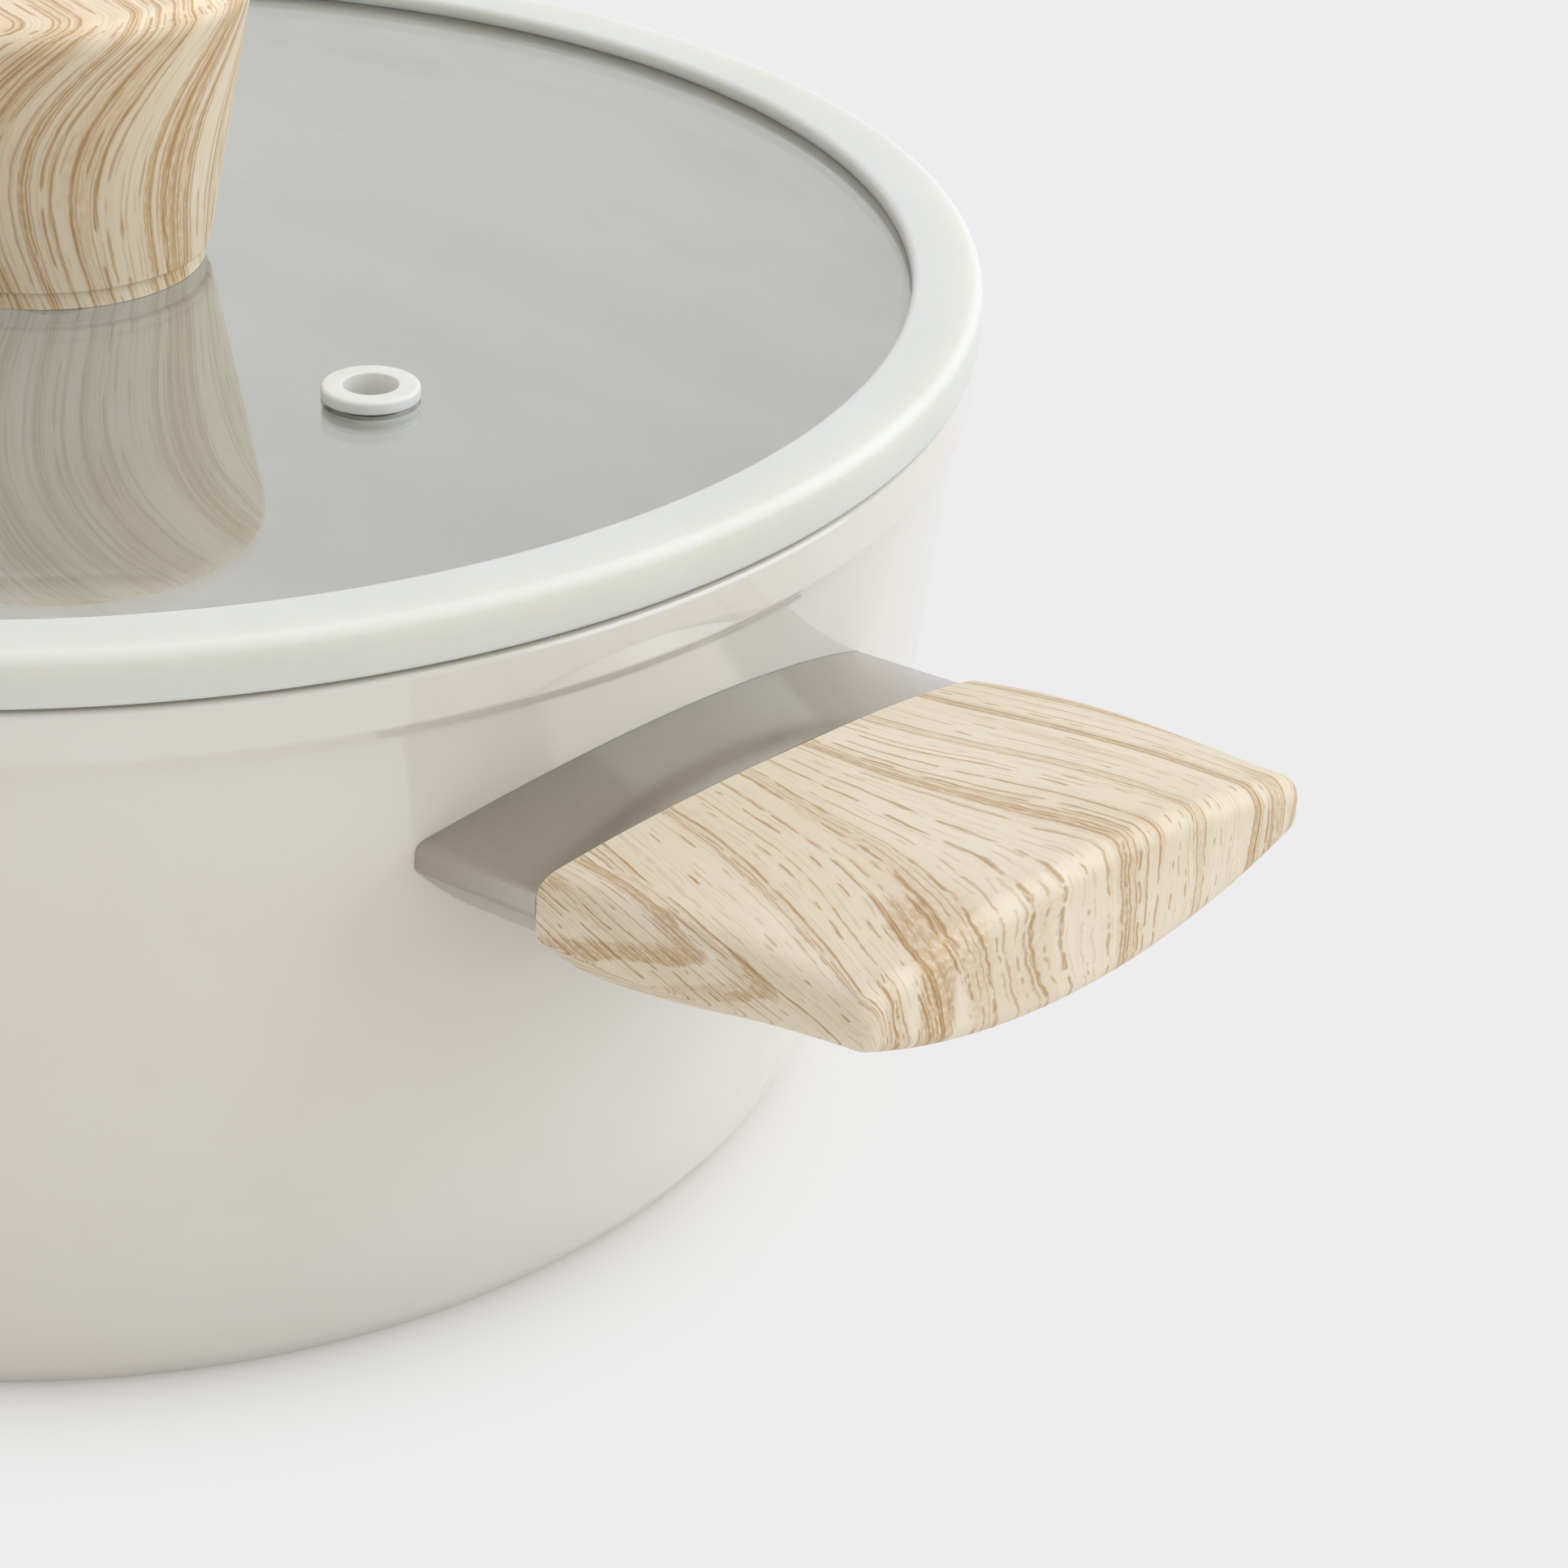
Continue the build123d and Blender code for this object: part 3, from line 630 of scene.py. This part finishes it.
def finish_mesh(name, mesh, body, node, material):
    """A smooth object of a mesh, which stands for a CAD node and moves with its body."""
    mesh.materials.append(material)
    mesh.shade_smooth()
    mesh.set_sharp_from_angle(angle=SHARP)
    piece = bpy.data.objects.new(name, mesh)
    bpy.context.scene.collection.objects.link(piece)
    normals = piece.modifiers.new("even_normals", "WEIGHTED_NORMAL")
    normals.keep_sharp = True
    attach(piece, body)
    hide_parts(node)


def solid_mesh(name, points, faces):
    """A closed mesh with all its faces outward."""
    mesh = bpy.data.meshes.new(name)
    mesh.from_pydata(points, [], faces)
    bm = bmesh.new()
    bm.from_mesh(mesh)
    bmesh.ops.recalc_face_normals(bm, faces=bm.faces)
    bm.to_mesh(mesh)
    bm.free()
    return mesh


def turned_mesh(name, outline, turns, closed=True, at_x=0.0):
    """The outline turned round the vertical through at_x. An open outline starts and ends on that axis."""
    points, faces, rows = [], [], []
    for r, z in outline:
        if r < ON_AXIS:
            rows.append([len(points)] * turns)
            points.append((at_x * MM, 0.0, z * MM))
            continue
        rows.append(list(range(len(points), len(points) + turns)))
        for i in range(turns):
            angle = 2 * math.pi * (i + 0.5) / turns
            points.append(((at_x + r * math.cos(angle)) * MM, r * math.sin(angle) * MM, z * MM))
    for a, b in zip(rows, rows[1:] + rows[:1] if closed else rows[1:]):
        for i in range(turns):
            loop = dict.fromkeys((a[i], a[(i + 1) % turns], b[(i + 1) % turns], b[i]))
            faces.append(tuple(loop))
    return solid_mesh(name, points, faces)


# Pot: radius and height of each bend of its wall, its rim band, foot and base recess
WALL_TOP = (116.2, RIM_MM - 7.8)
WALL_BEND = (113.4, 63.0)
HEEL = (103.2, 12.5)
FOOT = (100.2, 3.3)
FOOT_R = 97.6
RECESS = (78.15, 1.2)
WALL_T = 3.4
BASE_T = 5.5
INNER_ROUND = 8.4
RIM_IN_R = 112.8
RIM_OUT_R = 117.6
RIM_BAND_H = 6.0
RIM_IN_ROUND = 1.4
RIM_OUT_ROUND = 0.8
RIM_LOW_ROUND = 0.9
WALL_TOP_ROUND = 1.6
SIDE_STEPS = 24
HEEL_STEPS = 12


def pot_outline():
    """The vessel's section, from the middle of its floor up over the rim and down to the middle of its
    underside."""
    rim_band = [
        (WALL_TOP[0] - WALL_T, WALL_TOP[1], 0),
        (RIM_IN_R, RIM_MM, RIM_IN_ROUND),
        (RIM_OUT_R, RIM_MM, RIM_OUT_ROUND),
        (RIM_OUT_R, RIM_MM - RIM_BAND_H, RIM_LOW_ROUND),
        (*WALL_TOP, WALL_TOP_ROUND),
        (*WALL_BEND, 0),
    ]
    way = (Vector(WALL_BEND) - Vector(WALL_TOP)).normalized()
    side, side_way = arc_on(WALL_BEND, way, HEEL, SIDE_STEPS)
    heel, _ = arc_on(HEEL, side_way, FOOT, HEEL_STEPS)
    inner_bend = Vector((WALL_BEND[0] - WALL_T, WALL_BEND[1]))
    inner_heel = Vector((HEEL[0] - WALL_T, HEEL[1]))
    inner_side, inner_way = arc_on(inner_bend, way, inner_heel, SIDE_STEPS)
    corner = inner_heel + inner_way * ((BASE_T - HEEL[1]) / inner_way.y)
    floor_run = rounded([(*inner_heel, 0), (*corner, INNER_ROUND), (0.0, BASE_T, 0)], closed=False)
    below = [Vector(p) for p in ((FOOT_R, 0.0), (RECESS[0], 0.0), RECESS, (0.0, RECESS[1]))]
    inside = [inner_bend] + inner_side[:-1] + floor_run
    return inside[::-1] + rounded(rim_band, closed=False) + side + heel + below


# Cast lug: where its root and its tip are, and half their widths
LUG = ((133.05, 21.0), (155.05, 15.0))
LUG_ROOT_R = 112.95
LUG_CORNER = 7.0
LUG_LOW = RIM_MM - 28.4
LUG_HIGH = RIM_MM - 19.4
LUG_HOLE_X = 142.05
LUG_HOLE_R = 2.65
LUG_ROOT_STEPS = 8
LUG_HOLE_STEPS = 32


def lug_mesh(name, turn):
    """Cast tongue with its screw hole, on one side of the pot, its root in the wall."""
    (joint_x, root_y), (tip_x, tip_y) = LUG
    half = [
        (joint_x, -root_y, 0),
        (tip_x, -tip_y, LUG_CORNER),
        (tip_x, tip_y, LUG_CORNER),
        (joint_x, root_y, 0),
    ]
    reach = math.asin(root_y / LUG_ROOT_R)
    root_angles = [reach * (1 - 2 * i / LUG_ROOT_STEPS) for i in range(LUG_ROOT_STEPS + 1)]
    root = [(LUG_ROOT_R * math.cos(a), LUG_ROOT_R * math.sin(a), 0) for a in root_angles]
    hole_angles = [2 * math.pi * i / LUG_HOLE_STEPS for i in range(LUG_HOLE_STEPS)]
    hole = [(LUG_HOLE_X + LUG_HOLE_R * math.cos(a), LUG_HOLE_R * math.sin(a)) for a in hole_angles]
    loops = [[Vector((x, y, 0.0)) for x, y in loop] for loop in (rounded(half + root), hole)]
    caps = tessellate_polygon(loops)
    flat = loops[0] + loops[1]
    count = len(flat)
    points = [(turn * p.x * MM, turn * p.y * MM, z * MM) for z in (LUG_LOW, LUG_HIGH) for p in flat]
    faces = [tuple(corner + lift for corner in cap) for lift in (0, count) for cap in caps]
    first = 0
    for loop in loops:
        ring = list(range(first, first + len(loop)))
        faces += [(a, b, b + count, a + count) for a, b in zip(ring, ring[1:] + ring[:1])]
        first += len(loop)
    return solid_mesh(name, points, faces)


# Sections of the lid's round pieces: across, height over the pot's rim, rounding
LID_SECTION = (
    (109.1, 4.95, 0), (109.1, 7.1, 0.9), (118.0, 7.1, 1.4), (118.0, 0.6, 0.7),
    (115.6, 0.6, 0), (115.0, 0.1, 0), (112.0, 0.1, 0), (112.0, -4.8, 0.8667),
    (109.4, -4.8, 0), (107.8, 1.65, 0), (113.15, 1.65, 0), (113.15, 4.95, 0),
)
VENT_SECTION = (
    (3.3, 0.25, 0), (3.3, 6.65, 0.2), (5.9, 6.65, 0.5), (5.9, 5.1, 0), (5.4, 5.1, 0),
    (5.4, 4.82, 0), (4.6, 4.82, 0), (4.6, 1.65, 0), (5.7, 1.65, 0), (5.7, 0.25, 0),
)
KNOB_SECTION = (
    (0.0, 21.8, 0), (5.0, 21.8, 0), (5.0, 5.8, 0), (15.2, 5.8, 0), (15.2, 4.9, 0),
    (19.3, 4.9, 0), (19.3, 7.1, 0), (20.1, 7.1, 0.5), (26.7, 42.9, 3.0), (0.0, 42.9, 0),
)
VENT_X = 61.6
# The vent's groove under its flange, painted dark as shade, in metres: axis, radius inside, low and high
VENT_SHADE_GROOVE = (VENT_X * MM, 0.0040, RIM_Z + 0.0032, RIM_Z + 0.0052)


def dress(names, material):
    """Gives the CAD nodes with these names a material all over."""
    for name in names:
        mesh = nodes[name].data
        for slot in range(len(mesh.materials)):
            mesh.materials[slot] = material
        if not mesh.materials:
            mesh.materials.append(material)


cream = enamel()
shell = turned_mesh("pot_shell", pot_outline(), FINE_TURN, closed=False)
finish_mesh("pot_shell", shell, "pot", "pot_body", cream)
finish_mesh("pot_lug_right", lug_mesh("pot_lug_right", 1), "pot", "pot_body", cream)
finish_mesh("pot_lug_left", lug_mesh("pot_lug_left", -1), "pot", "pot_body", cream)
rim = turned_mesh("lid_soft_rim", rounded(LID_SECTION, lift=RIM_MM), FINE_TURN)
finish_mesh("lid_soft_rim", rim, "lid", "lid_rim", silicone("lid_rim_silicone", RIM_SOFT))
vent = turned_mesh("steam_vent", rounded(VENT_SECTION, lift=RIM_MM), VENT_TURN, at_x=VENT_X)
# The vent's silicone carries painted shade in the groove under its flange
vent_silicone = silicone("vent_silicone", VENT_SOFT, SMALL_PIECE, VENT_GLOW, VENT_SHADE_GROOVE)
finish_mesh("steam_vent", vent, "lid", "vent_grommet", vent_silicone)
knob = turned_mesh("knob_body", rounded(KNOB_SECTION, closed=False, lift=RIM_MM), KNOB_TURN, closed=False)
finish_mesh("knob_body", knob, "lid", "knob_grip", knob_wood())

dress(["induction_base"], satin_metal("base_turned_steel", BASE_STEEL, TURNED, turned=True))
dress(["handle_guard_right", "handle_guard_left"],
      satin_metal("guard_satin_steel", GUARD_STEEL, DRAWN, GUARD_BITE))
dress(["handle_grip_right"], grip_wood("grip_wood_film_right", 1))
dress(["handle_grip_left"], grip_wood("grip_wood_film_left", -1))
dress(["handle_screw_right", "handle_screw_left", "handle_washer_right", "handle_washer_left", "knob_washer",
       "knob_screw"], satin_metal("screw_steel", SCREW_STEEL, EVEN))
dress(["knob_insert"], satin_metal("insert_brass", INSERT_BRASS, EVEN))
dress(["lid_glass"], glass())
# The gaskets get silicone painted lighter, against the knob's shade
dress(["knob_gasket", "knob_under_gasket"], silicone("gasket_silicone", GASKET_SOFT_PAINTED_LIGHT, SMALL_PIECE))

# Floor, which stands for the whole pale background and keeps the shadow near the pot
bpy.ops.mesh.primitive_plane_add(size=FLOOR_SIZE, location=(0, 0, 0))
floor = bpy.context.object
floor.name = "floor"
k = Look("floor_paper")
mottle = k.ease(k.noise(k.here, FLOOR_MOTTLE, 2), *MID)
k.finish(colour=k.blend(mottle, *FLOOR_PAPER), rough=FLOOR_ROUGH, gloss=0.0)
even = k.put("ShaderNodeEmission", {"Color": k.blend(mottle, *FLOOR_EVEN), "Strength": 1.0})
beyond = k.over(k.larger(k.minus(k.length(k.here), FLOOR_NEAR), 0.0), -FLOOR_FADE)
keep = k.times(k.sum("EXPONENT", beyond), FLOOR_KEEP)
path = k.put("ShaderNodeLightPath")
seen = k.larger(path.outputs["Is Camera Ray"], path.outputs["Is Glossy Ray"])
seen = k.larger(seen, path.outputs["Is Transmission Ray"])
plain = k.times(seen, k.minus(1.0, keep))
k.show(k.put("ShaderNodeMixShader", {0: plain, 1: k.shader.outputs[0], 2: even.outputs[0]}))
floor.data.materials.append(k.mat)

# Room light, paler where the room itself is seen
world = bpy.data.worlds.new("pale_room")
bpy.context.scene.world = world
world.use_nodes = True
room = world.node_tree
path = room.nodes.new("ShaderNodeLightPath")
seen = room.nodes.new("ShaderNodeMath")
seen.operation = "MAXIMUM"
room.links.new(path.outputs["Is Camera Ray"], seen.inputs[0])
room.links.new(path.outputs["Is Glossy Ray"], seen.inputs[1])
shown = room.nodes.new("ShaderNodeMath")
shown.operation = "MAXIMUM"
room.links.new(seen.outputs[0], shown.inputs[0])
room.links.new(path.outputs["Is Transmission Ray"], shown.inputs[1])
level = room.nodes.new("ShaderNodeMapRange")
level.inputs["To Min"].default_value = ROOM_LEVEL
level.inputs["To Max"].default_value = BACK_LEVEL
room.links.new(shown.outputs[0], level.inputs["Value"])
sky = room.nodes["Background"]
sky.inputs["Color"].default_value = (1, 1, 1, 1)
room.links.new(level.outputs["Result"], sky.inputs["Strength"])


def pointing(azimuth, height):
    """The direction at an azimuth and a height over the horizon."""
    flat = math.cos(height)
    return Vector((flat * math.cos(azimuth), flat * math.sin(azimuth), math.sin(height)))


# Lamps
for name, power, azimuth, height, spread, colour in LAMPS:
    lamp = bpy.data.lights.new(name, "SUN")
    lamp.energy = power
    lamp.angle = spread
    lamp.color = colour
    lamp_object = bpy.data.objects.new(name, lamp)
    bpy.context.scene.collection.objects.link(lamp_object)
    lamp_object.rotation_euler = pointing(azimuth, height).to_track_quat("Z", "Y").to_euler()

# Camera
forward = pointing(CAM_YAW, CAM_PITCH)
level_right = forward.cross(Vector((0, 0, 1))).normalized()
level_up = level_right.cross(forward)
right = level_right * math.cos(CAM_ROLL) + level_up * math.sin(CAM_ROLL)
up = level_up * math.cos(CAM_ROLL) - level_right * math.sin(CAM_ROLL)
camera = bpy.data.cameras.new("camera")
camera.lens = CAM_LENS
camera.sensor_width = CAM_SENSOR
camera.clip_start = CAM_NEAR
camera_object = bpy.data.objects.new("camera", camera)
bpy.context.scene.collection.objects.link(camera_object)
camera_object.matrix_world = Matrix.Translation(CAM_AT) @ Matrix((right, up, -forward)).transposed().to_4x4()
bpy.context.scene.camera = camera_object

bpy.context.scene.view_settings.view_transform = "Standard"
